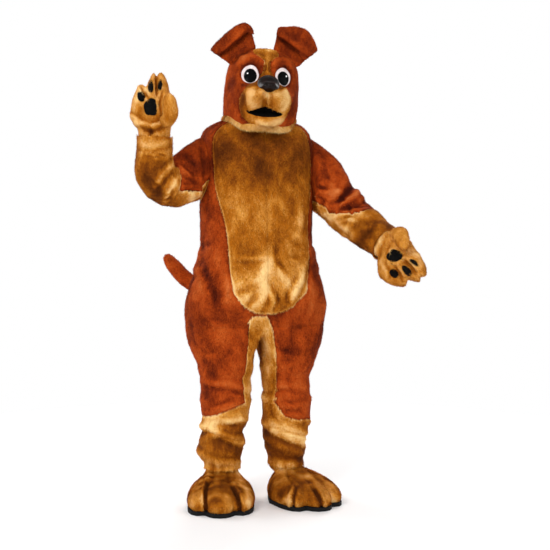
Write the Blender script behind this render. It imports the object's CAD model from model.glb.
import math
import bmesh
import bpy
import numpy as np
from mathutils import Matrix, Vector
from mathutils.bvhtree import BVHTree
from mathutils.kdtree import KDTree


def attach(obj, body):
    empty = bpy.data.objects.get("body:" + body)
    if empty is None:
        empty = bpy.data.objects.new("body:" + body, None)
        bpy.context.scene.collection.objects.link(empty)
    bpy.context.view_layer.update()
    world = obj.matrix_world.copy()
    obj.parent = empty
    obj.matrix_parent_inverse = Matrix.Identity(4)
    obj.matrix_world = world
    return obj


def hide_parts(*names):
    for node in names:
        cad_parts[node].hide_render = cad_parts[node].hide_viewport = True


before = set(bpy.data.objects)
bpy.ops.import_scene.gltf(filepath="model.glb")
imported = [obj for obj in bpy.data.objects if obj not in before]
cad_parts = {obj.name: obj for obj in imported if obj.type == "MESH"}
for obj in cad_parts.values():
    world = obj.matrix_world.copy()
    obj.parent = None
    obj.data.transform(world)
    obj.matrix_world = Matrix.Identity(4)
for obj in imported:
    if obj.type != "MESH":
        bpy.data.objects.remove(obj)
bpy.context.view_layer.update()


# The studio: a plain pale floor and soft lights all round.
# The camera stands in front of the costume and a little to its right, as high as its waist,
# and looks level. The costume's shoulders are at the origin, and the floor is 1.40 m below.
FLOOR_DROP = 1.40
EYE = np.array((-1.092, -4.367, -0.30))
AHEAD = np.array((0.259, 0.966, 0.0))
ASIDE = np.array((0.966, -0.259, 0.0))
UPWARD = np.array((0, 0, 1))
PICTURE = 550
FOCUS = 1125.0
MIDDLE = 275.0
LEVEL_ROW = 224.0


def dye(red, green, blue):
    """A colour named by its screen values, as the shader takes it."""
    shades = [value / 255 for value in (red, green, blue)]
    return [s / 12.92 if s <= 0.04045 else ((s + 0.055) / 1.055) ** 2.4 for s in shades] + [1.0]


def mesh_of(form, name):
    """Turns a form into a mesh of that name, and lets the form go."""
    mesh = bpy.data.meshes.new(name)
    form.to_mesh(mesh)
    form.free()
    return mesh


camera_data = bpy.data.cameras.new("studio_camera")
camera_data.sensor_width = 36.0
camera_data.lens = FOCUS * 36.0 / PICTURE
camera_data.shift_y = (LEVEL_ROW - MIDDLE) / PICTURE
camera = bpy.data.objects.new("studio_camera", camera_data)
camera.location = EYE
camera.rotation_euler = Vector(AHEAD).to_track_quat("-Z", "Y").to_euler()
bpy.context.scene.collection.objects.link(camera)
bpy.context.scene.camera = camera

floor_cloth = bpy.data.materials.new("studio_floor_paper")
floor_cloth.use_nodes = True
floor_shader = floor_cloth.node_tree.nodes["Principled BSDF"]
floor_shader.inputs["Base Color"].default_value = dye(252, 252, 252)
floor_shader.inputs["Roughness"].default_value = 0.9

floor_form = bmesh.new()
bmesh.ops.create_circle(floor_form, cap_ends=True, segments=96, radius=2.5)
floor_mesh = mesh_of(floor_form, "studio_floor")
floor_mesh.materials.append(floor_cloth)
floor = bpy.data.objects.new("studio_floor", floor_mesh)
floor.location.z = -FLOOR_DROP - 0.0005
bpy.context.scene.collection.objects.link(floor)

for place, power, width in (
    ((-2.9, -3.4, 2.3), 128.0, 2.0),
    ((2.9, -2.9, 1.5), 44.0, 2.6),
    ((-1.2, -4.8, 0.3), 20.0, 1.6),
    ((1.8, 3.2, 2.0), 90.0, 2.4),
    ((-2.6, 2.6, 1.4), 60.0, 2.4),
):
    lamp_data = bpy.data.lights.new("soft_box", "AREA")
    lamp_data.energy = power
    lamp_data.size = width
    lamp = bpy.data.objects.new("soft_box", lamp_data)
    lamp.location = place
    lamp.rotation_euler = (Vector((0, 0, -0.35)) - lamp.location).to_track_quat("-Z", "Y").to_euler()
    bpy.context.scene.collection.objects.link(lamp)

studio_air = bpy.data.worlds.new("studio_air")
studio_air.use_nodes = True
air_nodes = studio_air.node_tree.nodes
air_link = studio_air.node_tree.links.new
room_light = air_nodes["Background"]
backdrop = air_nodes.new("ShaderNodeBackground")
for air, strength in ((room_light, 0.5), (backdrop, 1.0)):
    air.inputs["Color"].default_value = (1, 1, 1, 1)
    air.inputs["Strength"].default_value = strength
sight = air_nodes.new("ShaderNodeLightPath")
either = air_nodes.new("ShaderNodeMixShader")
air_link(sight.outputs["Is Camera Ray"], either.inputs["Fac"])
air_link(room_light.outputs["Background"], either.inputs[1])
air_link(backdrop.outputs["Background"], either.inputs[2])
air_link(either.outputs["Shader"], air_nodes["World Output"].inputs["Surface"])
bpy.context.scene.world = studio_air
bpy.context.scene.view_settings.view_transform = "Standard"


# The body suit: seventeen panels of short-pile plush, cut flat and sewn edge to edge into a
# hollow shell. The belly, underarm, forearm, lower leg and inner leg panels are golden tan, the
# others rust. A light turned edge shows round the tan panels, and the cloth slumps in folds.
SUIT_WALL = 0.006
SUIT_PANELS = {
    "belly_right": ("tan_plush", (0.20, 0.80), 0.136, (0, 0, -1)),
    "belly_left": ("tan_plush", (0.22, 0.80), 0.152, (0, 0, -1)),
    "front_right": ("rust_plush", (0.29, 0.86), 0.136, (0, 0, -1)),
    "front_left": ("rust_plush", (0.28, 0.86), 0.122, (0, 0, -1)),
    "back_right": ("rust_plush", (0.36, 0.86), 0.244, (0, 0, -1)),
    "back_left": ("rust_plush", (0.36, 0.86), 0.242, (0, 0, -1)),
    "upper_sleeve_right": ("rust_plush", (0.36, 0.27), 0.082, (-0.7, -0.3, -0.6)),
    "upper_sleeve_left": ("rust_plush", (0.42, 0.40), 0.139, (0.6, -0.5, -0.6)),
    "underarm_right": ("tan_plush", (0.16, 0.25), 0.035, (-0.7, -0.3, -0.6)),
    "underarm_left": ("tan_plush", (0.22, 0.34), 0.066, (0.6, -0.5, -0.6)),
    "forearm_right": ("tan_plush", (0.40, 0.29), 0.099, (-0.2, -0.1, 1)),
    "forearm_left": ("tan_plush", (0.37, 0.22), 0.067, (0.6, -0.7, -0.4)),
    "leg_right": ("rust_plush", (0.52, 0.42), 0.182, (0, 0, -1)),
    "leg_left": ("rust_plush", (0.52, 0.42), 0.191, (0, 0, -1)),
    "inner_leg_gusset": ("tan_plush", (0.26, 0.66), 0.131, (0, 0, -1)),
    "lower_leg_right": ("tan_plush", (0.54, 0.32), 0.153, (0, 0, -1)),
    "lower_leg_left": ("tan_plush", (0.54, 0.32), 0.142, (0, 0, -1)),
}
PANEL_THICKNESS = 0.003

# How many tufts of pile stand on a square metre of plush; the other pieces have their own number.
SUIT_TUFTS = 101000

# Seams where two colours meet sink deeper and wider than those within one colour.
SEAM_SINK = 0.0030
SEAM_WIDTH = 0.007
PLAIN_SEAM_SINK = 0.0007
PLAIN_SEAM_WIDTH = 0.004
SWELL_ROUNDS = 3
SEAM_REACH = 0.9

# A fold is a line in picture columns and rows, its depth in millimetres, its half width in
# columns, and the side of the line that its ridge stands on.
FRONT_FOLDS = [
    (((200, 138), (203, 160), (205, 182)), 5, 2.2, 1),
    (((177, 172), (188, 178), (200, 184)), 7, 2.4, -1),
    (((180, 186), (190, 190), (197, 192)), 5, 2.0, 1),
    (((183, 153), (192, 160), (199, 168)), 4, 3.0, -1),
    (((176, 166), (168, 178), (158, 190), (152, 200)), 7, 2.6, 1),
    (((175, 176), (166, 190), (160, 201)), 6, 2.0, -1),
    (((172, 189), (168, 199)), 5, 1.8, 1),
    (((146, 165), (145, 180), (154, 195)), 4, 3.0, 1),
    (((149, 158), (157, 156), (165, 155)), 3, 1.6, 1),
    (((138, 150), (152, 152), (172, 147)), 5, 2.2, 1),
    (((318, 187), (324, 189), (330, 188)), 5, 2.0, 1),
    (((362, 178), (352, 189), (334, 208)), 12, 2.8, -1),
    (((352, 178), (343, 194), (331, 205)), 8, 2.4, 1),
    (((374, 198), (360, 204), (345, 208), (329, 215)), 10, 2.6, 1),
    (((320, 152), (325, 166), (326, 182)), 5, 2.6, 1),
    (((336, 186), (345, 190)), 5, 2.0, 1),
    (((322, 200), (330, 203), (338, 200)), 5, 1.8, 1),
    (((340, 196), (348, 204), (350, 211)), 6, 1.8, -1),
    (((328, 176), (334, 183), (334, 192)), 4, 2.2, 1),
    (((376, 228), (368, 232), (362, 240)), 5, 2.0, 1),
    (((336, 226), (344, 222), (352, 222)), 5, 1.8, -1),
    (((149, 178), (158, 186), (163, 195)), 5, 2.0, -1),
    (((164, 160), (166, 172), (163, 184)), 4, 1.8, -1),
    (((182, 164), (190, 172), (197, 178)), 5, 2.0, 1),
    (((178, 180), (186, 184), (192, 184)), 5, 1.8, 1),
    (((356, 213), (346, 217), (334, 223)), 8, 2.2, 1),
    (((361, 217), (354, 227), (347, 237)), 7, 2.6, 1),
    (((330, 222), (338, 230), (346, 234)), 6, 2.4, -1),
    (((372, 222), (364, 236), (354, 248)), 4, 3.4, 1),
    (((390, 224), (379, 242), (368, 260)), 6, 2.4, -1),
    (((230, 261), (244, 262), (262, 262)), 4, 2.0, -1),
    (((275, 249), (277, 261), (285, 270)), 8, 2.6, -1),
    (((268, 276), (273, 290), (280, 303)), 7, 2.6, 1),
    (((285, 300), (291, 288), (298, 276)), 8, 2.4, 1),
    (((274, 311), (279, 299), (276, 288)), 7, 2.0, -1),
    (((237, 292), (247, 290), (254, 286)), 5, 3.0, 1),
    (((246, 308), (254, 296), (258, 284)), 6, 2.6, -1),
    (((291, 257), (300, 260), (308, 259)), 5, 2.0, 1),
    (((284, 233), (292, 241), (303, 246)), 4, 3.2, -1),
    (((304, 205), (306, 220), (303, 236)), 5, 2.4, 1),
    (((216, 150), (226, 158), (238, 161)), 3, 4.0, 1),
    (((300, 150), (292, 160), (284, 166)), 3, 4.0, 1),
    (((203, 263), (208, 282), (216, 300)), 8, 3.4, 1),
    (((214, 262), (219, 280), (222, 296)), 5, 3.0, -1),
    (((194, 305), (206, 322), (216, 334)), 5, 3.6, -1),
    (((203, 188), (208, 198), (207, 214)), 4, 2.6, 1),
    (((309, 262), (305, 283), (297, 303)), 6, 2.6, 1),
    (((277, 348), (285, 350), (293, 353)), 5, 2.4, 1),
    (((196, 345), (206, 352), (214, 352)), 4, 2.6, 1),
    (((203, 386), (217, 389), (231, 390), (245, 394)), 8, 2.8, -1),
    (((212, 404), (222, 404), (233, 400)), 6, 2.4, 1),
    (((274, 391), (290, 390), (305, 393)), 5, 2.6, -1),
    (((282, 401), (292, 403), (304, 400)), 5, 2.2, 1),
    (((282, 410), (292, 411), (302, 410)), 5, 2.2, 1),
    (((220, 425), (232, 426), (246, 424)), 11, 3.0, -1),
    (((197, 430), (219, 440), (242, 449)), 13, 3.2, -1),
    (((202, 420), (206, 428), (212, 432)), 6, 2.6, 1),
    (((260, 431), (284, 442), (314, 452)), 13, 3.2, -1),
    (((272, 426), (288, 432), (309, 437)), 5, 1.5, -1),
    (((275, 432), (290, 437), (309, 443)), 5, 1.4, -1),
    (((268, 405), (272, 415), (280, 424)), 5, 2.0, 1),
    (((222, 462), (223, 471), (221, 480)), 6, 2.2, 1),
    (((238, 464), (236, 473), (240, 482)), 5, 2.0, -1),
    (((212, 464), (213, 472)), 5, 2.0, 1),
    (((284, 462), (286, 471), (283, 480)), 6, 2.2, 1),
    (((300, 464), (298, 474), (301, 482)), 5, 2.0, -1),
    (((266, 350), (268, 362), (265, 372)), 4, 2.0, 1),
    (((254, 325), (258, 333), (262, 330)), 4, 2.0, 1),
    (((271, 133), (272.5, 200), (274, 240), (275, 262)), 3, 0.9, 1),
    (((206, 431), (222, 436), (240, 441)), 7, 1.8, 1),
    (((205, 452), (220, 458), (240, 458)), 6, 2.4, 1),
    (((270, 455), (288, 459), (306, 458)), 6, 2.4, 1),
    (((222, 414), (230, 411), (243, 406)), 5, 2.0, -1),
    (((247, 306), (256, 300), (262, 290)), 6, 2.0, 1),
    (((262, 312), (268, 302), (270, 292)), 6, 2.0, -1),
    (((292, 306), (288, 300), (288, 292)), 5, 1.8, 1),
]
# The nap lies darker or lighter in broad strokes: a line, how much, and its half width.
FRONT_NAP = [
    (((225, 150), (255, 165), (300, 150)), -0.20, 22),
    (((234, 138), (252, 150), (270, 158)), 0.30, 5),
    (((230, 200), (250, 230), (262, 240)), 0.08, 20),
    (((268, 262), (262, 290), (254, 304)), 0.60, 7),
    (((281, 272), (288, 282), (292, 292)), 0.45, 5),
    (((232, 262), (246, 260), (262, 258)), 0.22, 3),
    (((280, 262), (283, 254), (276, 246)), -0.25, 4),
    (((240, 292), (247, 288), (252, 290)), -0.25, 5),
    (((300, 212), (296, 232), (300, 250)), 0.25, 5),
    (((189, 155), (195, 172), (196, 186)), -0.28, 7),
    (((335, 165), (330, 182), (334, 196)), 0.18, 6),
    (((205, 265), (211, 285), (218, 302)), -0.30, 6),
    (((205, 325), (208, 336), (214, 345)), -0.15, 7),
    (((228, 345), (232, 362), (226, 376)), 0.12, 10),
    (((300, 335), (302, 355), (296, 372)), 0.10, 10),
    (((206, 441), (224, 448), (238, 452)), -0.35, 4),
    (((270, 445), (286, 452), (302, 456)), -0.35, 5),
    (((224, 431), (234, 433), (244, 430)), -0.45, 3),
    (((212, 416), (216, 426), (214, 434)), 0.28, 5),
    (((278, 420), (292, 428), (303, 436)), 0.30, 5),
    (((222, 468), (232, 474), (240, 478)), 0.20, 7),
    (((286, 468), (294, 474), (300, 478)), 0.20, 7),
    (((344, 212), (352, 214), (360, 212)), 0.30, 3),
    (((338, 226), (350, 232), (344, 236)), 0.30, 4),
    (((366, 222), (360, 238), (356, 250)), -0.25, 6),
    (((153, 165), (150, 182), (158, 196)), -0.20, 7),
    (((173, 166), (169, 180), (163, 192)), 0.25, 3),
    (((264, 330), (267, 350), (266, 368)), 0.25, 6),
    (((228, 140), (262, 150), (304, 140)), -0.22, 16),
    (((225, 170), (262, 178), (308, 172)), -0.22, 18),
    (((236, 284), (266, 290), (298, 284)), 0.38, 16),
    (((366, 226), (360, 240), (352, 250)), -0.12, 12),
    (((146, 170), (152, 190), (160, 200)), -0.18, 12),
    (((200, 420), (222, 424), (242, 412)), 0.34, 8),
    (((276, 424), (296, 436), (309, 444)), 0.34, 8),
    (((206, 446), (222, 452), (240, 456)), -0.20, 5),
    (((270, 448), (288, 456), (304, 460)), -0.16, 5),
    (((226, 446), (232, 456), (236, 462)), 0.20, 5),
    (((206, 466), (222, 470), (242, 472)), 0.26, 7),
    (((270, 466), (288, 472), (306, 474)), 0.26, 7),
    (((252, 320), (262, 322), (268, 330)), 0.34, 7),
    (((266, 345), (268, 370), (267, 395)), 0.28, 6),
    (((253, 345), (250, 370), (248, 390)), 0.30, 5),
    (((318, 214), (334, 226), (350, 238)), 0.34, 6),
    (((346, 218), (358, 216), (366, 216)), 0.30, 4),
    (((186, 196), (192, 199), (197, 194)), 0.30, 5),
    (((150, 150), (158, 152), (168, 150)), 0.20, 8),
    (((214, 250), (206, 275), (198, 300)), 0.10, 10),
    (((196, 320), (208, 340), (216, 350)), -0.24, 5),
    (((206, 310), (214, 318), (226, 322)), -0.22, 5),
    (((284, 352), (294, 350), (306, 352)), -0.20, 4),
    (((352, 186), (345, 193), (337, 202)), -0.55, 1.7),
    (((361, 196), (351, 203), (340, 208)), -0.55, 1.6),
    (((319, 186), (326, 188)), -0.50, 1.6),
    (((318, 196), (325, 199), (322, 205)), -0.45, 1.5),
    (((357, 192), (348, 199), (340, 205)), 0.35, 1.4),
    (((364, 204), (354, 208), (344, 211)), 0.30, 1.3),
    (((328, 168), (334, 180), (336, 192)), 0.28, 3.0),
    (((376, 224), (370, 230), (362, 232)), -0.35, 2.2),
    (((386, 236), (378, 246), (374, 254)), -0.40, 2.0),
    (((337, 222), (346, 219), (354, 221)), 0.40, 2.0),
    (((336, 214), (330, 218), (326, 214)), 0.45, 2.4),
    (((144, 157), (150, 156.5)), -0.70, 1.2),
    (((157, 156), (163, 155)), -0.70, 1.2),
    (((170, 160), (161, 168), (152, 172)), -0.30, 1.6),
    (((172, 172), (165, 184), (159, 196)), -0.45, 1.7),
    (((168, 168), (161, 178), (155, 184)), 0.35, 1.8),
    (((175, 180), (169, 191), (164, 203)), 0.40, 1.6),
    (((166, 200), (171, 196), (175, 190)), -0.35, 1.5),
    (((138, 142), (152, 147), (172, 141)), 0.40, 3.4),
    (((186, 192), (186, 200)), -0.40, 1.8),
    (((193, 192), (192, 200)), 0.35, 2.0),
    (((214, 152), (217, 158), (222, 166)), -0.20, 4.0),
    (((273, 140), (274, 200), (275, 256)), -0.16, 1.0),
    (((275.4, 150), (276.2, 200), (277, 250)), 0.14, 1.0),
]
# The hidden folds are the maker's guess, alike in size to those in front: for the back, side
# to side and down in units of 4 mm, from the middle of the shoulders.
BACK_FOLDS = [
    (((-38, 22), (-22, 32), (-8, 37)), 7, 3.4, 1),
    (((34, 26), (20, 35), (7, 38)), 6, 3.2, -1),
    (((-44, 88), (-28, 96), (-10, 98)), 8, 3.6, 1),
    (((46, 80), (30, 90), (12, 92)), 7, 3.4, 1),
    (((-58, 160), (-38, 168), (-16, 166)), 9, 3.6, -1),
    (((56, 156), (36, 166), (16, 167)), 8, 3.6, -1),
    (((-50, 130), (-42, 145), (-40, 160)), 5, 3.2, 1),
    (((52, 126), (47, 142), (40, 152)), 5, 3.2, -1),
    (((-52, 236), (-34, 242), (-14, 238)), 9, 3.2, 1),
    (((50, 232), (34, 240), (16, 241)), 8, 3.2, 1),
    (((-48, 248), (-32, 252), (-18, 250)), 6, 2.6, -1),
    (((-54, 272), (-34, 280), (-12, 276)), 9, 3.2, -1),
    (((52, 268), (32, 277), (14, 276)), 9, 3.2, -1),
    (((-50, 290), (-32, 296), (-14, 293)), 7, 2.8, 1),
    (((50, 288), (34, 295), (18, 293)), 7, 2.8, 1),
    (((-100, 12), (-94, 30), (-84, 44)), 6, 3.0, 1),
    (((82, 44), (92, 52), (100, 66)), 6, 3.0, -1),
    (((-70, 14), (-66, 30), (-62, 44)), 5, 3.0, 1),
    (((60, 14), (58, 30), (56, 44)), 5, 3.0, -1),
]
SIDE_FOLDS = [
    (((-30, 92), (-10, 98), (14, 95)), 6, 3.2, 1),
    (((-26, 120), (-4, 128), (22, 124)), 5, 3.4, -1),
    (((-30, 238), (-8, 244), (18, 240)), 7, 3.0, 1),
    (((-26, 273), (-4, 281), (20, 279)), 9, 3.2, -1),
    (((-22, 290), (-2, 296), (18, 293)), 6, 2.8, 1),
    (((-24, 206), (-6, 214), (14, 210)), 4, 3.4, 1),
]


def outer_layer(node, wall):
    """The outside of a hollow piece: its corners and triangles, without its inside and flanks."""
    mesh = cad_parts[node].data
    corners = np.empty(3 * len(mesh.vertices), dtype=np.float32)
    mesh.vertices.foreach_get("co", corners)
    order = np.empty(len(mesh.loops), dtype=np.int32)
    mesh.loops.foreach_get("vertex_index", order)
    places, number = np.unique(corners.reshape(-1, 3), axis=0, return_inverse=True)
    places = places.astype(float)
    triangles = number.ravel()[order].reshape(-1, 3)
    if wall is None:
        return places, triangles
    lengths = np.linalg.norm(places[triangles] - places[np.roll(triangles, 1, axis=1)], axis=2)
    flank = (np.abs(lengths - wall) < 8e-6).any(axis=1)
    kept = triangles[~flank]
    layer = np.arange(len(places))
    while True:
        lowest = layer.copy()
        np.minimum.at(lowest, kept.ravel(), np.repeat(layer[kept].min(axis=1), 3))
        if (lowest == layer).all():
            break
        layer = lowest
    spans = places[kept]
    areas = np.linalg.norm(np.cross(spans[:, 1] - spans[:, 0], spans[:, 2] - spans[:, 0]), axis=1)
    layers = layer[kept[:, 0]]
    widest = max(np.unique(layers), key=lambda one: areas[layers == one].sum())
    return places, kept[layers == widest]


def sewn(nodes, wall, rounds, gap=0.0008):
    """One smooth layer over the outsides of these pieces, with the number of each face's piece.
    Smoothing draws a form in, so its corners are let out again in a few rounds."""
    cloth = bmesh.new()
    for piece, node in enumerate(nodes):
        places, triangles = outer_layer(node, wall)
        made = {}
        for triangle in triangles:
            for corner in triangle:
                if corner not in made:
                    made[corner] = cloth.verts.new(places[corner])
            face = cloth.faces.new([made[corner] for corner in triangle])
            face.material_index = piece
    bmesh.ops.remove_doubles(cloth, verts=cloth.verts[:], dist=gap)
    bmesh.ops.join_triangles(
        cloth, faces=cloth.faces[:], cmp_materials=True,
        angle_face_threshold=math.radians(40), angle_shape_threshold=math.radians(60),
    )
    mesh = mesh_of(cloth, "layer")
    for _ in nodes:
        mesh.materials.append(None)
    holder = bpy.data.objects.new("layer", mesh)
    bpy.context.scene.collection.objects.link(holder)
    smoother = holder.modifiers.new("smooth", "SUBSURF")
    smoother.levels = rounds
    smoother.render_levels = rounds
    wanted = np.empty(3 * len(mesh.vertices))
    mesh.vertices.foreach_get("co", wanted)
    control = wanted.copy()
    for _ in range(SWELL_ROUNDS):
        mesh.vertices.foreach_set("co", control)
        mesh.update()
        bpy.context.view_layer.update()
        shaped = holder.evaluated_get(bpy.context.evaluated_depsgraph_get()).to_mesh()
        places = np.empty(3 * len(shaped.vertices))
        shaped.vertices.foreach_get("co", places)
        control += wanted - places[: len(wanted)]
    quads = np.empty(len(shaped.loops), dtype=np.int32)
    shaped.loops.foreach_get("vertex_index", quads)
    piece = np.empty(len(shaped.polygons), dtype=np.int32)
    shaped.polygons.foreach_get("material_index", piece)
    bpy.data.objects.remove(holder)
    return {
        "nodes": list(nodes),
        "places": places.reshape(-1, 3),
        "quads": quads.reshape(-1, 4),
        "piece": piece,
    }


def facing(places, quads):
    """The direction that each corner of a layer faces."""
    across = np.cross(places[quads[:, 2]] - places[quads[:, 0]], places[quads[:, 3]] - places[quads[:, 1]])
    total = np.zeros_like(places)
    for side in range(4):
        np.add.at(total, quads[:, side], across)
    return total / np.maximum(np.linalg.norm(total, axis=1, keepdims=True), 1e-12)


def ease(values, start, end):
    """Rises softly from 0 at start to 1 at end."""
    share = np.clip((values - start) / (end - start), 0, 1)
    return share * share * (3 - 2 * share)


def seen_in_front(places, normals):
    """Where the camera sees each place, in columns and rows, and how squarely it faces the camera."""
    away = places - EYE
    depth = away @ AHEAD
    spots = np.stack(
        [MIDDLE + FOCUS * (away @ ASIDE) / depth, LEVEL_ROW - FOCUS * away[:, 2] / depth], axis=1
    )
    toward = -away / np.linalg.norm(away, axis=1, keepdims=True)
    return spots, ease((normals * toward).sum(axis=1), -0.25, 0.15)


def seen_behind(places, normals):
    return np.stack([places[:, 0], -places[:, 2]], axis=1) / 0.004, ease(normals[:, 1], 0.15, 0.5)


def seen_aside(places, normals):
    return np.stack([places[:, 1], -places[:, 2]], axis=1) / 0.004, ease(np.abs(normals[:, 0]), 0.75, 0.95)


def beside(spots, line):
    """How far each spot is from a line, its side, and how near it is to the line's ends."""
    line = np.array(line, dtype=float)
    spans = line[1:] - line[:-1]
    lengths = np.linalg.norm(spans, axis=1)
    ahead = np.concatenate([[0], np.cumsum(lengths)])
    nearest = np.full(len(spots), 1e9)
    side = np.ones(len(spots))
    along = np.zeros(len(spots))
    for number, span in enumerate(spans):
        offset = spots - line[number]
        share = np.clip(offset @ span / lengths[number] ** 2, 0, 1)
        far = offset - share[:, None] * span
        away = np.linalg.norm(far, axis=1)
        closer = away < nearest
        nearest[closer] = away[closer]
        side[closer] = np.sign(span[0] * far[closer, 1] - span[1] * far[closer, 0])
        along[closer] = (ahead[number] + share[closer] * lengths[number]) / ahead[-1]
    return nearest, side, np.sqrt(np.clip(np.sin(np.pi * (0.08 + 0.84 * along)), 0, 1))


def folded(places, normals, seen, folds):
    """How far each place moves out for its folds: troughs sink and the ridges beside them rise."""
    spots, square = seen(places, normals)
    moved = np.zeros(len(places))
    for line, depth, half_width, ridge_side in folds:
        away, side, end = beside(spots, line)
        trough = np.exp(-((away / half_width) ** 2))
        ridge = np.exp(-(((away * side * ridge_side - 1.9 * half_width) / (1.2 * half_width)) ** 2))
        moved += (0.65 * ridge - trough) * end * depth / 1000
    return moved * square


def brushed(places, normals, seen, strokes):
    """How much lighter or darker the nap lies along broad strokes."""
    spots, square = seen(places, normals)
    light = np.zeros(len(places))
    for line, strength, half_width in strokes:
        away, side, end = beside(spots, line)
        light += strength * np.exp(-((away / half_width) ** 2))
    return light * square


def swell(places, length, height, seed):
    """Gentle waves of about that length, never the same twice over the cloth."""
    source = np.random.default_rng(seed)
    total = np.zeros(len(places))
    for _ in range(10):
        heading = source.normal(size=3)
        heading *= math.tau / (length * source.uniform(0.7, 1.5)) / np.linalg.norm(heading)
        total += np.sin(places @ heading + source.uniform(0, math.tau))
    return total * height / 3.2


def meeting(layer, labels):
    """Which corners of a layer lie where faces with different labels meet."""
    lowest = np.full(len(layer["places"]), 10 ** 6)
    highest = np.full(len(layer["places"]), -1)
    for side in range(4):
        np.minimum.at(lowest, layer["quads"][:, side], labels)
        np.maximum.at(highest, layer["quads"][:, side], labels)
    return highest > lowest


def seam_distance(layer, labels):
    """How far each corner of a layer is from the nearest place where faces' labels change."""
    found = np.nonzero(meeting(layer, labels))[0]
    tree = KDTree(max(len(found), 1))
    for number in found:
        tree.insert(layer["places"][number], int(number))
    tree.balance()
    if not len(found):
        return np.full(len(layer["places"]), 1.0)
    return np.array([tree.find(place)[2] for place in layer["places"]])


def recut(layer, sources, node, outline):
    """Gives the faces seen inside an outline to another panel, and pulls the new seam onto it."""
    normals = facing(layer["places"], layer["quads"])
    spots, square = seen_in_front(layer["places"], normals)
    middles = spots[layer["quads"]].mean(axis=1)
    inside = np.zeros(len(middles), dtype=bool)
    away = np.full(len(spots), 1e9)
    wanted = spots.copy()
    starts = np.array(outline, dtype=float)
    for start, end in zip(starts, np.roll(starts, -1, axis=0)):
        span = end - start
        if span[1]:
            column = start[0] + (middles[:, 1] - start[1]) * span[0] / span[1]
            inside ^= ((start[1] > middles[:, 1]) != (end[1] > middles[:, 1])) & (middles[:, 0] < column)
        share = np.clip((spots - start) @ span / (span @ span), 0, 1)
        foot = start + share[:, None] * span
        far = np.linalg.norm(spots - foot, axis=1)
        closer = far < away
        away[closer] = far[closer]
        wanted[closer] = foot[closer]
    given = np.isin(layer["piece"], [layer["nodes"].index(source) for source in sources])
    given &= inside & (square[layer["quads"]].mean(axis=1) > 0.02)
    layer["piece"][given] = layer["nodes"].index(node)
    seam = meeting(layer, layer["piece"]) & (away < SEAM_REACH) & (square > 0.4)
    depth = (layer["places"] - EYE) @ AHEAD
    step = (wanted - spots) * (depth / FOCUS)[:, None]
    shift = step[:, :1] * ASIDE - step[:, 1:] * UPWARD
    shift -= AHEAD * ((shift * normals).sum(axis=1) / np.minimum(normals @ AHEAD, -0.1))[:, None]
    layer["places"][seam] += shift[seam]


def new_mesh(name, places, faces, marks=None):
    """A mesh of faces that all have the same number of corners, with a number per corner for each mark."""
    mesh = bpy.data.meshes.new(name)
    mesh.vertices.add(len(places))
    mesh.vertices.foreach_set("co", np.asarray(places, dtype=np.float32).ravel())
    mesh.loops.add(faces.size)
    mesh.loops.foreach_set("vertex_index", np.asarray(faces, dtype=np.int32).ravel())
    mesh.polygons.add(len(faces))
    mesh.polygons.foreach_set("loop_start", np.arange(0, faces.size, faces.shape[1], dtype=np.int32))
    mesh.update(calc_edges=True)
    mesh.shade_smooth()
    for mark, values in (marks or {}).items():
        layer = mesh.attributes.new(mark, "FLOAT", "POINT")
        layer.data.foreach_set("value", np.asarray(values, dtype=np.float32))
    return mesh


def cut_piece(layer, piece, normals):
    """One piece of a layer as a closed sheet: its outside, its inside and the turned edge between."""
    faces = layer["quads"][layer["piece"] == piece]
    used, local = np.unique(faces, return_inverse=True)
    faces = local.reshape(-1, 4)
    places = layer["places"][used].copy()
    count = len(used)
    sides = np.concatenate([faces[:, [k, (k + 1) % 4]] for k in range(4)])
    keys = sides[:, 0].astype(np.int64) * count + sides[:, 1]
    back_keys = sides[:, 1].astype(np.int64) * count + sides[:, 0]
    border = sides[~np.isin(keys, back_keys)]
    rim = np.zeros(count)
    rim[border.ravel()] = 1.0
    inward = np.zeros_like(places)
    shares = np.zeros(count)
    for start, end in ((sides[:, 0], sides[:, 1]), (sides[:, 1], sides[:, 0])):
        inner = rim[end] < 0.5
        np.add.at(inward, start[inner], places[end[inner]] - places[start[inner]])
        np.add.at(shares, start[inner], 1)
    pull = inward / np.maximum(np.linalg.norm(inward, axis=1, keepdims=True), 1e-9)
    places += pull * (rim * 0.0003)[:, None]
    inside = places - normals[used] * PANEL_THICKNESS
    flank = np.stack([border[:, 0], border[:, 0] + count, border[:, 1] + count, border[:, 1]], axis=1)
    solid = np.concatenate([faces, faces[:, ::-1] + count, flank])
    return used, faces, np.concatenate([places, inside]), solid


def ramp(nodes, stops):
    """A colour ramp node with these places and colours."""
    node = nodes.new("ShaderNodeValToRGB")
    while len(node.color_ramp.elements) < len(stops):
        node.color_ramp.elements.new(0.5)
    for element, (place, colour) in zip(node.color_ramp.elements, stops):
        element.position = place
        element.color = colour
    return node


def new_finish(name):
    """A material with its nodes, its links, its shader and the place that each spot has on the piece."""
    material = bpy.data.materials.new(name)
    material.use_nodes = True
    nodes = material.node_tree.nodes
    where = nodes.new("ShaderNodeTexCoord")
    return material, nodes, material.node_tree.links.new, nodes["Principled BSDF"], where


def noise(nodes, link, where, scale, detail):
    """A cloudy pattern of this scale over a piece."""
    pattern = nodes.new("ShaderNodeTexNoise")
    pattern.inputs["Scale"].default_value = scale
    pattern.inputs["Detail"].default_value = detail
    link(where, pattern.inputs["Vector"])
    return pattern


def coloured(nodes, link, shader, pattern, stops):
    """Gives a shader the colours that lie at these places of a pattern."""
    colours = ramp(nodes, [(place, dye(*shade)) for place, shade in stops])
    link(pattern, colours.inputs["Fac"])
    link(colours.outputs["Color"], shader.inputs["Base Color"])


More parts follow.
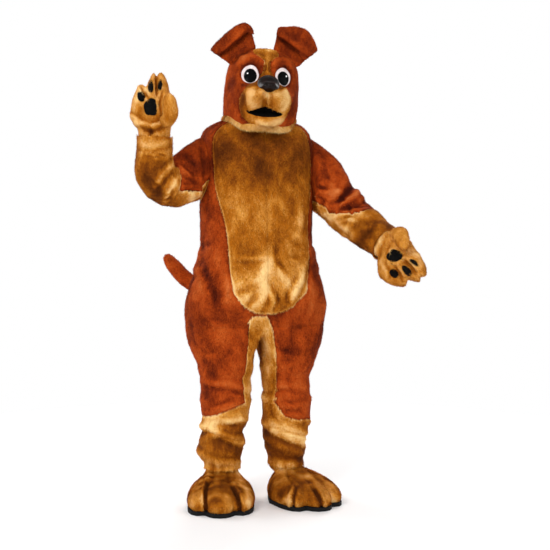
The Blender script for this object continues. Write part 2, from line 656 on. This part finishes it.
def relieved(nodes, link, shader, pattern, strength, distance):
    """Gives a shader a fine relief that follows a pattern."""
    relief = nodes.new("ShaderNodeBump")
    relief.inputs["Strength"].default_value = strength
    relief.inputs["Distance"].default_value = distance
    link(pattern, relief.inputs["Height"])
    link(relief.outputs["Normal"], shader.inputs["Normal"])
    return relief


def plush(name, shades, mottle=16.0, sheen=0.10, rough=0.85):
    """Short-pile plush: blotches where the nap lies another way, streaks, and a fine grain of hairs.
    The mark tone makes it lighter on ridges and turned edges and darker in troughs."""
    material, nodes, link, shader, where = new_finish(name)
    stretch = nodes.new("ShaderNodeMapping")
    stretch.inputs["Scale"].default_value = (1.0, 1.0, 0.55)
    link(where.outputs["Object"], stretch.inputs["Vector"])
    blotch = noise(nodes, link, stretch.outputs["Vector"], mottle, 4.0)
    blotch.inputs["Roughness"].default_value = 0.6
    blotch.inputs["Distortion"].default_value = 0.6
    nap = noise(nodes, link, stretch.outputs["Vector"], mottle * 4.5, 3.0)
    hair = noise(nodes, link, where.outputs["Object"], 420.0, 2.0)
    tone = nodes.new("ShaderNodeAttribute")
    tone.attribute_name = "tone"
    total = None
    for source, share in (
        (blotch.outputs["Fac"], 0.66), (nap.outputs["Fac"], 0.20), (hair.outputs["Fac"], 0.12),
        (tone.outputs["Fac"], 0.50),
    ):
        part = nodes.new("ShaderNodeMath")
        part.operation = "MULTIPLY_ADD"
        link(source, part.inputs[0])
        part.inputs[1].default_value = share
        if total is None:
            part.inputs[2].default_value = 0.01
        else:
            link(total, part.inputs[2])
        total = part.outputs[0]
    coloured(nodes, link, shader, total, zip((0.12, 0.36, 0.54, 0.72, 0.95), shades))
    shader.inputs["Roughness"].default_value = rough
    shader.inputs["Specular IOR Level"].default_value = 0.08
    shader.inputs["Sheen Weight"].default_value = sheen
    shader.inputs["Sheen Roughness"].default_value = 0.4
    shader.inputs["Sheen Tint"].default_value = dye(*shades[3])
    relieved(nodes, link, shader, hair.outputs["Fac"], 0.35, 0.003)
    return material


PLUSH = {
    "rust_plush": plush(
        "rust_plush", ((66, 16, 4), (120, 40, 8), (176, 68, 15), (198, 90, 30), (222, 132, 68))
    ),
    "tan_plush": plush(
        "tan_plush", ((84, 38, 6), (134, 68, 10), (182, 104, 16), (224, 156, 64), (254, 216, 146)),
        mottle=13.0,
    ),
}


def show(mesh, name, cloth, slot, *nodes):
    """Puts a piece into the scene on the costume, in its material, in place of these nodes."""
    mesh.materials.append(cloth)
    piece = bpy.data.objects.new(name, mesh)
    bpy.context.scene.collection.objects.link(piece)
    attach(piece, "root")
    if nodes:
        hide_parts(*nodes)
    return piece


def pile(name, places, quads, normals, tone, lay, hairs, length, width, cloth, slot, seed, lift=0.35):
    """The pile of a piece: many short flat tufts that lie along the nap, lifted at their tips."""
    source = np.random.default_rng(seed)
    corners = places[quads]
    areas = np.linalg.norm(np.cross(corners[:, 2] - corners[:, 0], corners[:, 3] - corners[:, 1]), axis=1)
    picked = source.choice(len(quads), size=hairs, p=areas / areas.sum())
    across, down = source.random(hairs)[:, None], source.random(hairs)[:, None]

    def blend(values):
        one = values[quads[picked]]
        if one.ndim == 2:
            one = one[:, :, None]
        top = one[:, 0] * (1 - across) + one[:, 1] * across
        foot = one[:, 3] * (1 - across) + one[:, 2] * across
        return top * (1 - down) + foot * down

    root = blend(places)
    out = blend(normals)
    out /= np.linalg.norm(out, axis=1, keepdims=True)
    heading = np.asarray(lay, dtype=float)
    swirl = np.stack([swell(root, 0.16, 0.28, seed + k) for k in range(3)], axis=1)
    heading = heading / np.linalg.norm(heading) + swirl
    heading += source.normal(scale=0.28, size=heading.shape)
    heading -= out * (heading * out).sum(axis=1, keepdims=True)
    heading /= np.maximum(np.linalg.norm(heading, axis=1, keepdims=True), 1e-6)
    beam = np.cross(out, heading)
    size = length * source.uniform(0.6, 1.25, hairs)[:, None]
    rise = lift * source.uniform(0.4, 1.5, hairs)[:, None]
    half = width * source.uniform(0.6, 1.2, hairs)[:, None] / 2
    base = root - out * 0.0006
    tip = root + heading * size + out * size * rise
    tuft = np.stack([base - beam * half, base + beam * half, tip], axis=1).reshape(-1, 3)
    shade = blend(tone)[:, 0] + source.normal(scale=0.16, size=hairs)
    shades = np.stack([shade - 0.22, shade - 0.22, shade + 0.2], axis=1).ravel()
    mesh = new_mesh(name, tuft, np.arange(3 * hairs).reshape(-1, 3), {"tone": shades})
    return show(mesh, name, cloth, slot)


def dyed(layer, table):
    """The number of the plush that each face of a layer is cut from."""
    return np.array([list(PLUSH).index(table[node][0]) for node in layer["nodes"]])[layer["piece"]]


def shaped(layer, folds, waves, nap, contrast, limits, pale=0.0, sinks=()):
    """Folds a layer, lets it swell in waves and sinks its seams. Gives the tone of its cloth, which
    follows the folds and the nap's strokes, and the direction that each corner then faces."""
    normals = facing(layer["places"], layer["quads"])
    moves = 0.0
    for seen, rows in folds:
        moves = moves + folded(layer["places"], normals, seen, rows)
    for length, height, seed in waves:
        moves = moves + swell(layer["places"], length, height, seed)
    strokes = brushed(layer["places"], normals, seen_in_front, nap)
    tone = np.clip(moves * contrast, *limits) + pale + strokes
    for labels, sink, width in sinks:
        moves = moves - sink * np.exp(-((seam_distance(layer, labels) / width) ** 2))
    layer["places"] += normals * moves[:, None]
    return tone, facing(layer["places"], layer["quads"])


def make_panels(layer, table, tone, normals, density, seed, length=0.009, width=0.0026):
    """Cuts a layer into its panels, and gives each its sheet and its pile."""
    turned = meeting(layer, dyed(layer, table)).astype(float)
    for number, node in enumerate(layer["nodes"]):
        slot, flat, area, lay = table[node]
        used, faces, places, solid = cut_piece(layer, number, normals)
        light = tone[used] + turned[used] * (0.62 if slot == "tan_plush" else -0.30)
        mesh = new_mesh(node + "_cloth", places, solid, {"tone": np.concatenate([light, light - 0.3])})
        piece = show(mesh, node + "_cloth", PLUSH[slot], slot, node)
        coat = pile(
            node + "_pile", places[: len(used)], faces, normals[used], light, lay,
            int(density * area), length, width, PLUSH[slot], slot, seed + number,
        )


# In front, some panels are cut along curves: which panels lose cloth, which gains it, and the
# outline of that cloth in picture columns and rows.
FRONT_CUTS = [
    (("front_right", "front_left", "leg_right", "leg_left"), "inner_leg_gusset", (
        (249, 321), (253, 316.5), (268, 316.5), (271, 322), (274, 338), (276, 355), (276.5, 375),
        (275.5, 392), (272, 404), (262, 404), (259, 338), (257, 345), (253, 366), (246, 376),
        (247.5, 358), (249.5, 340),
    )),
    (("inner_leg_gusset",), "leg_left", (
        (276.5, 350), (284, 350), (284, 415), (278, 408), (275, 400), (275.5, 385),
    )),
    (("lower_leg_left",), "leg_left", (
        (274, 394), (312, 408), (313, 418.5), (300, 420), (288, 417.5), (280, 411), (275, 402),
    )),
    (("lower_leg_right",), "leg_right", (
        (199, 410), (246, 394), (243, 402), (234, 408.5), (222, 412.5), (200, 415),
    )),
    (("underarm_left",), "upper_sleeve_left", (
        (306, 170), (322, 170), (326, 207), (314, 202), (306, 202),
    )),
    (("upper_sleeve_left",), "underarm_left", (
        (306, 202), (314, 202), (326, 207), (328.5, 214), (336, 213.5), (351, 213), (364, 210.5), (372, 216),
        (352, 244), (330, 236), (306, 214),
    )),
    (("upper_sleeve_right",), "underarm_right", (
        (175.5, 189.5), (188, 190.5), (199, 192), (199, 204), (176, 204),
    )),
    (("underarm_right",), "upper_sleeve_right", (
        (186, 176), (203, 176), (203, 191.5), (192, 191), (186, 190.4),
    )),
]
suit = sewn(SUIT_PANELS, SUIT_WALL, 2)
for sources, gainer, outline in FRONT_CUTS:
    recut(suit, sources, gainer, outline)
suit_tone, suit_normals = shaped(
    suit,
    folds=((seen_in_front, FRONT_FOLDS), (seen_behind, BACK_FOLDS), (seen_aside, SIDE_FOLDS)),
    waves=((0.13, 0.0022, 3), (0.05, 0.0009, 4)),
    nap=FRONT_NAP,
    contrast=60,
    limits=(-0.85, 0.5),
    sinks=(
        (dyed(suit, SUIT_PANELS), SEAM_SINK, SEAM_WIDTH),
        (suit["piece"], PLAIN_SEAM_SINK, PLAIN_SEAM_WIDTH),
    ),
)
make_panels(suit, SUIT_PANELS, suit_tone, suit_normals, SUIT_TUFTS, 100)


# The back zip: a woven tape sewn between the back panels, a coil of moulded teeth down its
# middle, and a metal slider with its pull, parked at the top under the head's neck.
TOOTH_PITCH = 0.0026
ZIP_TOP = 0.098
ZIP_FOOT = -0.540
SLIDER_HEIGHT = 0.080

zip_weave, zip_nodes, zip_link, zip_shader, zip_where = new_finish("zip_tape")
zip_rib = zip_nodes.new("ShaderNodeTexWave")
zip_rib.wave_type = "BANDS"
zip_rib.bands_direction = "Z"
zip_rib.inputs["Scale"].default_value = 160.0
zip_rib.inputs["Distortion"].default_value = 0.6
zip_link(zip_where.outputs["Object"], zip_rib.inputs["Vector"])
coloured(zip_nodes, zip_link, zip_shader, zip_rib.outputs["Fac"], ((0.2, (58, 26, 10)), (0.8, (100, 50, 22))))
zip_shader.inputs["Roughness"].default_value = 0.85
zip_shader.inputs["Specular IOR Level"].default_value = 0.08
relieved(zip_nodes, zip_link, zip_shader, zip_rib.outputs["Fac"], 0.5, 0.0006)
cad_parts["back_zip_tape"].data.materials[0] = zip_weave


def node_tree_of(node):
    """A search tree over a node's faces, to find where a line meets them."""
    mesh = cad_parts[node].data
    return BVHTree.FromPolygons([v.co for v in mesh.vertices], [tuple(p.vertices) for p in mesh.polygons])


def speckled(name, shades, scale, rough, coat=0.0, metal=0.0, relief=0.1, depth=0.0006, shine=0.5):
    """A hard finish with a fine uneven grain and a slightly uneven gloss."""
    material, nodes, link, shader, where = new_finish(name)
    grain = noise(nodes, link, where.outputs["Object"], scale, 5.0)
    coloured(nodes, link, shader, grain.outputs["Fac"], zip((0.35, 0.65), shades))
    gloss = nodes.new("ShaderNodeMapRange")
    gloss.inputs["To Min"].default_value = rough * 0.8
    gloss.inputs["To Max"].default_value = min(1.0, rough * 1.2)
    link(grain.outputs["Fac"], gloss.inputs["Value"])
    link(gloss.outputs["Result"], shader.inputs["Roughness"])
    shader.inputs["Specular IOR Level"].default_value = shine
    shader.inputs["Coat Weight"].default_value = coat
    shader.inputs["Coat Roughness"].default_value = 0.06
    shader.inputs["Metallic"].default_value = metal
    relieved(nodes, link, shader, grain.outputs["Fac"], relief, depth)
    return material


zip_tree = node_tree_of("back_zip_tape")


def on_the_zip(height):
    """Where the tape's outside is at a height."""
    return zip_tree.ray_cast(Vector((0, 1, height)), Vector((0, -1, 0)))[0]


zip_teeth = bmesh.new()
tooth_height = ZIP_FOOT
tooth_side = 1
while tooth_height < ZIP_TOP:
    spot = on_the_zip(tooth_height)
    if spot is not None:
        tooth = bmesh.ops.create_cube(zip_teeth, size=1.0)["verts"]
        for corner in tooth:
            taper = 0.55 if corner.co.x * tooth_side < 0 else 1.0
            corner.co = Vector((
                corner.co.x * 0.0046 + tooth_side * 0.0012,
                corner.co.y * 0.0022 * taper,
                corner.co.z * 0.0019 * taper,
            )) + spot + Vector((0, 0.0009, 0))
    tooth_height += TOOTH_PITCH / 2
    tooth_side = -tooth_side
bmesh.ops.bevel(
    zip_teeth, geom=zip_teeth.edges[:], offset=0.0003, segments=1, affect="EDGES", profile=0.5,
)
zip_nylon = speckled("zip_nylon", ((92, 50, 26), (126, 74, 40)), 300.0, 0.4)
show(mesh_of(zip_teeth, "zip_teeth"), "zip_teeth", zip_nylon, "zip_tape")

slider_spot = on_the_zip(SLIDER_HEIGHT)
slider = bmesh.new()
for width, deep, tall, out, drop in (
    (0.0105, 0.0024, 0.0130, 0.0012, 0.0), (0.0085, 0.0018, 0.0110, 0.0046, 0.0),
    (0.0030, 0.0036, 0.0070, 0.0032, 0.0), (0.0062, 0.0014, 0.0260, 0.0068, -0.0150),
):
    for corner in bmesh.ops.create_cube(slider, size=1.0)["verts"]:
        waist = 0.8 if corner.co.z < 0 else 1.0
        corner.co = Vector((corner.co.x * width * waist, corner.co.y * deep, corner.co.z * tall))
        corner.co += slider_spot + Vector((0, out, drop))
bmesh.ops.bevel(slider, geom=slider.edges[:], offset=0.0006, segments=2, affect="EDGES", profile=0.6)
slider_metal = speckled("slider_metal", ((120, 112, 100), (150, 142, 128)), 500.0, 0.35, metal=1.0)
show(mesh_of(slider, "zip_slider"), "zip_slider", slider_metal, "zip_tape")


# The tail: a stuffed taper of rust plush, sewn on low in the middle of the back, that curls up
# to the costume's right.
def stuffed(
    node, rounds, slot, lay, hairs, seed, folds=(), length=0.008, width=0.0024, cloth=None, tone_bias=0.0,
):
    """A stuffed or doubled piece of plush: its smooth form, its folds and its pile."""
    cloth = cloth or PLUSH[slot]
    layer = sewn([node], None, rounds, 0.00001)
    tone, normals = shaped(
        layer, ((seen_in_front, folds),), ((0.05, 0.0006, seed),), (), 60, (-0.7, 0.4), tone_bias,
    )
    mesh = new_mesh(node + "_cloth", layer["places"], layer["quads"], {"tone": tone})
    piece = show(mesh, node + "_cloth", cloth, slot, node)
    coat = pile(
        node + "_pile", layer["places"], layer["quads"], normals, tone, lay, hairs, length, width,
        cloth, slot, seed,
    )
    return piece, coat


tail, tail_pile = stuffed("tail", 2, "rust_plush", (-0.8, 0.5, 0.35), 9000, 200)


# The head: plush stretched over a hollow foam form. Rust cheeks and back, a tan blaze over the
# brow, a tan muzzle in two halves and a tan chin, all sewn edge to edge and sunk at the seams.
HEAD_WALL = 0.009
HEAD_TUFTS = 180000
HEAD_SEAM_SINK = 0.0024
HEAD_SEAM_WIDTH = 0.005
HEAD_PLAIN_SEAM_SINK = 0.0010
HEAD_PANELS = {
    "forehead_blaze": ("tan_plush", (0.12, 0.18), 0.0134, (0.0, 0.5, 1.0)),
    "chin": ("tan_plush", (0.17, 0.09), 0.009, (0.0, 0.0, -1.0)),
    "muzzle_right": ("tan_plush", (0.16, 0.18), 0.0206, (-1.0, 0.3, -0.5)),
    "muzzle_left": ("tan_plush", (0.16, 0.18), 0.0206, (1.0, 0.3, -0.5)),
    "head_cheek_right": ("rust_plush", (0.24, 0.34), 0.055, (-0.3, 0.6, -0.9)),
    "head_cheek_left": ("rust_plush", (0.24, 0.34), 0.055, (0.3, 0.6, -0.9)),
    "head_back_right": ("rust_plush", (0.25, 0.36), 0.074, (0.0, 0.0, -1.0)),
    "head_back_left": ("rust_plush", (0.25, 0.36), 0.072, (0.0, 0.0, -1.0)),
}
HEAD_FOLDS = [
    (((238, 66), (242, 59.5), (250, 56), (259, 57.5), (265, 64)), -7, 2.2, 1),
    (((273, 65), (276, 60), (283, 58.5), (289, 62), (291, 69)), -7, 2.0, 1),
    (((233, 63), (240, 55.5), (249, 52.5)), 4, 1.6, 1),
    (((271, 93), (271.5, 100), (271, 107)), 6, 1.5, 1),
    (((250, 89), (249, 98), (253, 107)), -5, 4.0, 1),
    (((285, 90), (288, 99), (284, 108)), -5, 3.6, 1),
    (((246, 96), (244, 104), (248, 112)), 4, 2.2, -1),
    (((256, 121), (270, 125), (282, 121)), -4, 3.4, 1),
    (((243, 118), (248, 124), (255, 128)), 4, 1.8, 1),
    (((231, 70), (230, 85), (232, 100)), 3, 3.0, 1),
    (((262, 83), (257, 88), (256, 93)), 3, 1.6, 1),
    (((279, 92), (283, 88), (284, 84)), 3, 1.6, 1),
]
HEAD_NAP = [
    (((252, 90), (251, 98), (254, 106)), 0.60, 3.6),
    (((285, 92), (288, 100), (285, 108)), 0.55, 3.6),
    (((262, 88), (266, 94), (272, 92)), 0.30, 4.0),
    (((243, 95), (240.5, 106), (243, 117)), -0.45, 2.4),
    (((292, 98), (292, 108), (288, 118)), -0.30, 2.0),
    (((264, 99), (266, 103), (270, 105)), -0.12, 2.0),
    (((254, 50), (265, 51), (277, 50)), 0.30, 2.4),
    (((268, 52), (268, 60), (268, 70)), 0.34, 3.0),
    (((257, 122), (270, 125), (281, 121)), 0.40, 3.4),
    (((244, 62), (250, 58), (258, 60)), 0.18, 3.0),
    (((231, 80), (230, 95), (232, 110)), -0.22, 4.0),
    (((294, 85), (296, 100), (294, 115)), -0.18, 3.0),
    (((256, 50), (264, 49), (276, 50)), 0.10, 2.0),
    (((256, 92), (259, 100), (260, 106)), 0.42, 4.0),
    (((280, 92), (282, 100), (280, 108)), 0.42, 4.0),
    (((262, 92), (270, 97), (276, 94)), 0.40, 4.0),
    (((252, 118), (268, 126), (284, 118)), 0.25, 5.0),
    (((241, 75), (243, 66), (250, 63), (258, 67), (260, 76), (257, 84), (250, 87), (243, 84)), -0.5, 1.6),
    ((
        (275.5, 77), (278, 68), (284, 65.5), (290, 70), (291, 78), (288, 86), (281, 88), (276.5, 84),
    ), -0.5, 1.5),
    (((230, 60), (250, 50), (290, 54)), -0.10, 14.0),
]
head = sewn(HEAD_PANELS, HEAD_WALL, 3)
head_tone, head_normals = shaped(
    head,
    folds=((seen_in_front, HEAD_FOLDS),),
    waves=((0.06, 0.0008, 5),),
    nap=HEAD_NAP,
    contrast=45,
    limits=(-0.6, 0.35),
    sinks=(
        (dyed(head, HEAD_PANELS), HEAD_SEAM_SINK, HEAD_SEAM_WIDTH),
        (head["piece"], HEAD_PLAIN_SEAM_SINK, PLAIN_SEAM_WIDTH),
    ),
)
make_panels(
    head, HEAD_PANELS, head_tone, head_normals, HEAD_TUFTS, 300,
    length=0.007, width=0.0021,
)

# The hem trim of the head: a strip of long pale fleece sewn round the lower edge of the neck,
# where it lies on the shoulders.
pale_fleece = plush(
    "pale_fleece", ((136, 80, 22), (188, 124, 44), (222, 160, 74), (240, 190, 110), (252, 222, 160)),
)
trim = sewn(["head_hem_trim"], HEAD_WALL, 3)
trim_normals = facing(trim["places"], trim["quads"])
trim["places"] += trim_normals * swell(trim["places"], 0.03, 0.0014, 7)[:, None]
trim_used, trim_faces, trim_places, trim_solid = cut_piece(trim, 0, trim_normals)
trim_tone = 0.25 + swell(trim_places[: len(trim_used)], 0.02, 0.16, 8)
trim_sheet = show(
    new_mesh("head_hem_trim_cloth", trim_places, trim_solid, {"tone": np.tile(trim_tone, 2)}),
    "head_hem_trim_cloth", pale_fleece, "tan_plush", "head_hem_trim",
)
trim_pile = pile(
    "head_hem_trim_pile", trim_places[: len(trim_used)], trim_faces, trim_normals[trim_used], trim_tone,
    (0.1, -0.1, -1.0), 9000, 0.013, 0.0028, pale_fleece, "tan_plush", 320, lift=0.6,
)


# The mouth: black see-through mesh, glued behind the parted lips, through which the wearer sees.
mouth_net, net_nodes, net_link, net_shader, net_where = new_finish("mouth_mesh")
net_cells = net_nodes.new("ShaderNodeTexVoronoi")
net_cells.feature = "DISTANCE_TO_EDGE"
net_cells.inputs["Scale"].default_value = 420.0
net_cells.inputs["Randomness"].default_value = 0.1
net_link(net_where.outputs["Object"], net_cells.inputs["Vector"])
net_threads = net_cells.outputs["Distance"]
coloured(net_nodes, net_link, net_shader, net_threads, ((0.05, (14, 13, 13)), (0.25, (3, 3, 3))))
net_shader.inputs["Roughness"].default_value = 0.8
net_shader.inputs["Specular IOR Level"].default_value = 0.05
relieved(net_nodes, net_link, net_shader, net_threads, 1.0, 0.0008).invert = True
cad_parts["mouth_mesh"].data.materials[0] = mouth_net


# The ears: flaps of doubled rust plush that stand up from the crown and fold over outwards.
EAR_FOLDS = [
    (((248, 31), (239, 40), (228, 50), (217, 57)), 5, 1.8, 1),
    (((247, 47), (240, 52), (230, 60)), 4, 1.8, -1),
    (((225, 44), (220, 50), (218, 55)), 2, 2.0, 1),
    (((277, 37), (287, 44), (298, 52), (309, 58)), 5, 1.8, -1),
    (((287, 34), (297, 40), (306, 46)), 3, 1.8, 1),
    (((281, 50), (290, 57), (298, 62)), 4, 1.8, 1),
]
for ear, ear_size, ear_area, ear_lay, ear_seed in (
    ("ear_right", (0.17, 0.20), 0.0280, (-0.6, -0.1, 0.4), 340),
    ("ear_left", (0.18, 0.20), 0.0340, (0.6, -0.1, 0.4), 350),
):
    ear_cloth, ear_pile = stuffed(
        ear, 2, "rust_plush", ear_lay, 9000, ear_seed, EAR_FOLDS, length=0.007, width=0.0022, tone_bias=-0.2,
    )


# The eyes: moulded white shells with a domed black pupil glued on, and a small round glint of
# white paint on each pupil.
def moulded(node, rounds, finish, slot):
    """A hard moulded piece, smoothed over from its solid."""
    layer = sewn([node], None, rounds, 0.00001)
    mesh = new_mesh(node + "_shell", layer["places"], layer["quads"])
    return show(mesh, node + "_shell", finish, slot, node)


eye_paint = speckled("eye_white", ((226, 208, 206), (240, 226, 224)), 90.0, 0.3, coat=0.3)
pupil_paint = speckled("eye_black", ((1, 1, 1), (3, 3, 3)), 120.0, 0.3, shine=0.05, relief=0.02)
glint_paint = speckled("glint_white", ((250, 250, 250), (255, 255, 255)), 120.0, 0.2, coat=1.0)
for side, glint_column, glint_row in (("right", 247.6, 73.3), ("left", 286.4, 76.3)):
    moulded("eye_" + side, 1, eye_paint, "eye_white")
    moulded("pupil_" + side, 1, pupil_paint, "eye_black")
    aside = ASIDE * (glint_column - MIDDLE) / FOCUS
    line_of_sight = Vector(AHEAD + aside + UPWARD * (LEVEL_ROW - glint_row) / FOCUS).normalized()
    spot, normal = node_tree_of("pupil_" + side).ray_cast(Vector(EYE), line_of_sight)[:2]
    glint = bmesh.new()
    bmesh.ops.create_uvsphere(glint, u_segments=24, v_segments=12, radius=0.0034)
    turn = normal.to_track_quat("Z", "Y").to_matrix()
    for corner in glint.verts:
        corner.co.z *= 0.28
        corner.co = turn @ corner.co + spot
    glint_mesh = mesh_of(glint, "glint_" + side)
    glint_mesh.shade_smooth()
    show(glint_mesh, "glint_" + side, glint_paint, "eye_white")


# The nose: a glossy dark brown moulded shell with two lobes and nostril dents.
nose_finish = speckled(
    "nose_shell", ((14, 6, 4), (30, 13, 9)), 60.0, 0.3, coat=0.03, relief=0.05, depth=0.001, shine=0.16,
)
moulded("nose", 2, nose_finish, "nose_shell")


# The paw mitts: tan plush mittens with three fat fingers, pinched apart by sewn grooves, a
# stuffed thumb, and a wide cuff that goes over or into the sleeve's end.
MITT_WALL = 0.005
MITT_TUFTS = 170000
MITT_TABLE = {
    "mitt_right": ("tan_plush", (0.34, 0.30), 0.095, (-0.1, 0.0, 1.0)),
    "mitt_left": ("tan_plush", (0.34, 0.30), 0.095, (0.6, -0.7, -0.4)),
}
MITT_FOLDS = [
    (((141, 86), (143.5, 92), (148, 99)), 9, 1.3, 1),
    (((156, 76), (156, 86), (157, 97)), 8, 1.2, 1),
    (((163, 92), (160, 103), (162, 114)), 7, 1.6, 1),
    (((130, 112), (140, 120), (150, 123.5), (159, 121), (169, 112)), 7, 1.8, 1),
    (((138, 128), (149, 133), (163, 130)), 6, 2.2, -1),
    (((148, 140), (152, 133), (150, 126)), 4, 1.8, 1),
    (((142, 139), (147, 132)), 3, 1.6, 1),
    (((403, 281), (400, 273), (395, 267)), 8, 1.4, 1),
    (((416, 273), (411, 266), (404, 260)), 8, 1.4, 1),
    (((386, 236), (381, 247), (378, 258)), 6, 1.8, 1),
    (((393, 240), (387, 249), (385, 262)), 6, 1.8, -1),
    (((384, 262), (390, 272), (389, 279)), 5, 1.6, 1),
    (((389, 259), (396, 260), (405, 254)), 6, 1.6, 1),
]
MITT_NAP = [
    (((140, 108), (138, 114), (143, 118)), -0.30, 3.0),
    (((144, 127), (152, 131), (162, 127)), -0.55, 3.0),
    (((150, 130), (150, 136), (149, 140)), -0.45, 2.4),
    (((132, 116), (142, 122), (152, 125), (160, 123), (168, 114)), 0.40, 1.5),
    (((136, 122), (140, 130), (145, 138)), 0.30, 2.0),
    (((142, 141), (152, 144), (168, 140)), 0.35, 3.4),
    (((136, 100), (139, 94), (146, 90)), 0.30, 2.6),
    (((150, 77), (156, 75), (164, 80)), 0.25, 2.4),
    (((143, 82), (147, 92), (153, 97)), 0.25, 2.0),
    (((382, 238), (376, 248), (374, 258)), 0.30, 2.6),
    (((412, 250), (419, 258), (420, 266)), 0.25, 2.6),
    (((392, 262), (398, 266), (406, 262)), -0.15, 2.4),
]
for mitt, mitt_seed in (("mitt_right", 400), ("mitt_left", 410)):
    paw = sewn([mitt], MITT_WALL, 3)
    paw_tone, paw_normals = shaped(
        paw, ((seen_in_front, MITT_FOLDS),), ((0.05, 0.0008, mitt_seed),), MITT_NAP, 55, (-0.75, 0.35), 0.34,
    )
    make_panels(
        paw, MITT_TABLE, paw_tone, paw_normals, MITT_TUFTS, mitt_seed,
        length=0.0075, width=0.0022,
    )
for thumb, thumb_lay, thumb_seed in (
    ("thumb_right", (0.1, 0.0, 1.0), 420), ("thumb_left", (0.6, -0.7, 0.2), 430),
):
    thumb_cloth, thumb_pile = stuffed(
        thumb, 2, "tan_plush", thumb_lay, 4200, thumb_seed, length=0.0075, width=0.0022, tone_bias=0.32,
    )


# The paw pads: patches of short black fur, lightly stuffed and sewn on the palm and finger tips.
black_fur = plush(
    "black_fur", ((3, 3, 3), (8, 7, 7), (14, 13, 12), (26, 24, 22), (52, 48, 45)), mottle=60.0, rough=0.8,
)
for side, pad_lay in (("right", (0, 0, 1)), ("left", (0.6, -0.7, -0.4))):
    for pad in ("palm_pad_", "toe_outer_pad_", "toe_middle_pad_", "toe_inner_pad_"):
        pad_cloth, pad_pile = stuffed(
            pad + side, 1, "pad_felt", pad_lay, 1500 if pad == "palm_pad_" else 600, 440,
            length=0.005, width=0.0016, cloth=black_fur,
        )


# The paw shoes: big soft shoes of tan plush over foam, with three stuffed toes drawn apart by
# deep grooves, gathered at the ankle under the trouser leg.
SHOE_WALL = 0.007
SHOE_TUFTS = 130000
SHOE_TABLE = {
    "paw_shoe_right": ("tan_plush", (0.46, 0.38), 0.133, (0.0, -0.9, -0.4)),
    "paw_shoe_left": ("tan_plush", (0.46, 0.38), 0.133, (0.0, -0.9, -0.4)),
}
SHOE_FOLDS = [
    (((208, 482), (205.5, 491), (205, 502), (206, 514)), 10, 1.6, 1),
    (((232, 486), (237, 495), (240, 505), (240, 515)), 10, 1.6, -1),
    (((214, 470), (212, 478), (208, 484)), 5, 2.0, 1),
    (((226, 470), (228, 478), (231, 484)), 4, 2.0, -1),
    (((297, 487), (293, 496), (292.5, 505), (294, 515)), 10, 1.6, 1),
    (((312, 487), (318, 495), (321.5, 502), (322, 510)), 10, 1.6, -1),
    (((287, 470), (289, 478), (295, 485)), 4, 2.0, 1),
    (((302, 474), (308, 480), (316, 487)), 4, 2.0, -1),
]
SHOE_NAP = [
    (((204, 490), (214, 487), (228, 486), (240, 491)), -0.42, 4.4),
    (((280, 492), (290, 487), (304, 487), (318, 494)), -0.42, 4.6),
    (((206, 484), (205, 496), (205.5, 512)), -0.8, 1.7),
    (((233, 488), (238, 498), (240, 513)), -0.8, 1.7),
    (((296, 488), (292.5, 499), (294, 513)), -0.8, 1.7),
    (((314, 489), (320, 499), (322, 510)), -0.8, 1.7),
    (((190, 506), (197, 498), (200, 492)), 0.35, 3.6),
    (((214, 500), (222, 497), (230, 501)), -0.10, 4.0),
    (((247, 504), (250, 498), (245, 490)), 0.35, 3.6),
    (((280, 506), (284, 500), (288, 500)), 0.25, 3.4),
    (((302, 503), (308, 498), (315, 500)), -0.05, 4.0),
    (((328, 496), (335, 502), (337, 508)), 0.30, 3.6),
    (((222, 472), (222, 480), (220, 486)), -0.25, 3.0),
    (((203, 476), (206, 482), (202, 488)), -0.20, 3.0),
    (((238, 474), (242, 484), (248, 490)), 0.30, 3.4),
]
for shoe, shoe_seed in (("paw_shoe_right", 500), ("paw_shoe_left", 510)):
    foot = sewn([shoe], SHOE_WALL, 3)
    worn = 0.12 + swell(foot["places"], 0.06, 0.2, shoe_seed + 1)
    foot_tone, foot_normals = shaped(
        foot, ((seen_in_front, SHOE_FOLDS),), ((0.06, 0.001, shoe_seed),), SHOE_NAP, 50, (-0.7, 0.35), worn,
    )
    make_panels(foot, SHOE_TABLE, foot_tone, foot_normals, SHOE_TUFTS, shoe_seed)


# The soles: black foam rubber, cut to the shoe's outline and cemented under it.
sole_rubber = speckled(
    "sole_rubber", ((10, 10, 11), (20, 20, 21)), 220.0, 0.8, relief=0.5, depth=0.001, shine=0.2,
)
for sole in ("sole_right", "sole_left"):
    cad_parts[sole].data.materials[0] = sole_rubber
